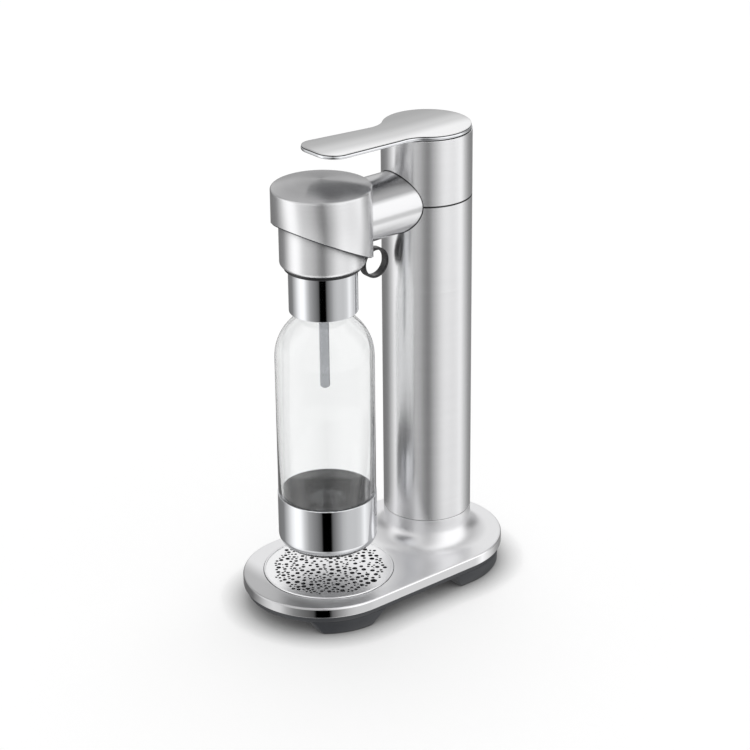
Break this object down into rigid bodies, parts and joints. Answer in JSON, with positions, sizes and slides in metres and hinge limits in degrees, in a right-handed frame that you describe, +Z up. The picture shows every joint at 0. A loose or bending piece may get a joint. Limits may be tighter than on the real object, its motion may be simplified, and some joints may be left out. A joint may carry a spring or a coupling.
{
  "type": "sparkling water maker",
  "caption": "Countertop carbonator: bottle hangs from a domed head on a round column with a press lever, over a drip tray in a long round-ended base.",
  "frame": {"origin": "centre of the base's footprint on the table", "axes": "+X to the right seen from the front, +Y from the bottle back to the column, +Z up"},
  "size_m": [0.147, 0.267, 0.4308],
  "materials": {
    "brushed_shell": "fine circumferential brushing, satin",
    "mirror_steel": "polished, mirror-like",
    "grille_steel": "bright satin with punched round holes",
    "dark_plastic": "moulded, fine grain",
    "black_gloss": "smooth, slightly glossy",
    "soft_rubber": "matt",
    "clear_plastic": "clear, glossy, thin-walled",
    "frame_steel": "plated steel, dull",
    "cylinder_alloy": "lacquered aluminium",
    "valve_brass": "turned brass",
    "copper_pipe": "drawn copper tube",
    "spring_wire": "spring steel"
  },
  "bodies": {
    "stand": {"base_plate": "brushed_shell", "base_underside": "dark_plastic", "base_feet": "dark_plastic", "drip_well": "dark_plastic", "foot_pads": "soft_rubber", "base_screws": "spring_wire", "inner_frame": "frame_steel", "frame_screws": "spring_wire", "base_seam_ring": "black_gloss", "column_tube": "brushed_shell", "column_head": "brushed_shell", "seam_ring": "black_gloss", "cylinder_seal": "soft_rubber", "valve_block": "cylinder_alloy", "safety_valve": "valve_brass", "plunger_spring": "spring_wire", "rocker_pin": "spring_wire", "lever_bracket": "frame_steel", "lever_hinge_pin": "spring_wire", "lever_spring": "spring_wire", "gas_pipe": "copper_pipe", "arm_tube": "brushed_shell", "arm_gasket": "black_gloss", "arm_core": "cylinder_alloy", "arm_screws": "spring_wire", "shroud": "brushed_shell", "shroud_liner": "dark_plastic", "gas_nozzle": "valve_brass"},
    "lever": {"lever_base": "mirror_steel", "lever_inlay": "black_gloss", "lever_plate": "brushed_shell", "lever_lift_pin": "spring_wire"},
    "rocker": {"rocker_arm": "frame_steel"},
    "valve_plunger": {"plunger": "spring_wire"},
    "hatch": {"cylinder_hatch": "dark_plastic", "hatch_pad": "soft_rubber"},
    "gas_cylinder": {"cylinder_body": "cylinder_alloy", "cylinder_valve": "valve_brass"},
    "cylinder_pin": {"valve_pin": "spring_wire"},
    "tray": {"drip_cup": "dark_plastic"},
    "grille": {"drip_grille": "grille_steel", "grille_tabs": "grille_steel"},
    "cradle": {"dock_cradle": "dark_plastic", "dock_seal": "soft_rubber"},
    "cap": {"cap_shell": "brushed_shell", "cap_body": "dark_plastic", "cap_ring": "black_gloss", "cap_collar": "mirror_steel", "cap_seal": "soft_rubber", "dip_tube": "mirror_steel", "release_bush": "dark_plastic", "release_spring": "spring_wire"},
    "release_ring": {"pull_ring": "black_gloss"},
    "bottle": {"bottle_body": "clear_plastic", "bottle_cup": "mirror_steel"}
  },
  "joints": [
    {"name": "lever_press", "type": "hinge", "parent": "stand", "child": "lever", "pos_m": [0, 0.036, 0.417], "axis": [1, 0, 0], "range_deg": [0, 9], "stiffness_Nm_per_rad": 2, "springref_deg": -14.32},
    {"name": "rocker_tilt", "type": "hinge", "parent": "stand", "child": "rocker", "pos_m": [0, 0.0575, 0.41], "axis": [-1, 0, 0], "range_deg": [0, 20.5]},
    {"name": "plunger_stroke", "type": "slide", "parent": "stand", "child": "valve_plunger", "axis": [0, 0, -1], "range_m": [0, 0.0026], "deforming": ["plunger_spring"]},
    {"name": "hatch_twist", "type": "hinge", "parent": "stand", "child": "hatch", "pos_m": [0, 0.065, 0.016], "axis": [0, 0, 1], "range_deg": [0, 30]},
    {"name": "cylinder_unscrew", "type": "hinge", "parent": "stand", "child": "gas_cylinder", "pos_m": [0, 0.065, 0.2], "axis": [0, 0, -1], "range_deg": [0, 945]},
    {"name": "valve_pin_stroke", "type": "slide", "parent": "gas_cylinder", "child": "cylinder_pin", "axis": [0, 0, -1], "range_m": [0, 0.0026]},
    {"name": "tray_lift", "type": "slide", "parent": "stand", "child": "tray", "axis": [0, 0, 1], "range_m": [0, 0.012]},
    {"name": "grille_lift", "type": "slide", "parent": "tray", "child": "grille", "axis": [0, 0, 1], "range_m": [0, 0.003]},
    {"name": "bottle_swing", "type": "hinge", "parent": "stand", "child": "cradle", "pos_m": [0, -0.054, 0.38], "axis": [-1, 0, 0], "range_deg": [0, 10]},
    {"name": "cap_release", "type": "slide", "parent": "cradle", "child": "cap", "axis": [0, 0, -1], "range_m": [0, 0.01]},
    {"name": "ring_pull", "type": "slide", "parent": "cap", "child": "release_ring", "axis": [0, 1, 0], "range_m": [0, 0.004], "stiffness_N_per_m": 800, "springref_m": -0.003},
    {"name": "bottle_unscrew", "type": "hinge", "parent": "cap", "child": "bottle", "pos_m": [0, -0.054, 0.2], "axis": [0, 0, -1], "range_deg": [0, 540]}
  ],
  "couplings": [
    {"joint": "rocker_tilt", "follows": "lever_press", "ratio": 2.24},
    {"joint": "plunger_stroke", "follows": "lever_press", "m_per_rad": 0.015915},
    {"joint": "valve_pin_stroke", "follows": "lever_press", "m_per_rad": 0.015915}
  ]
}
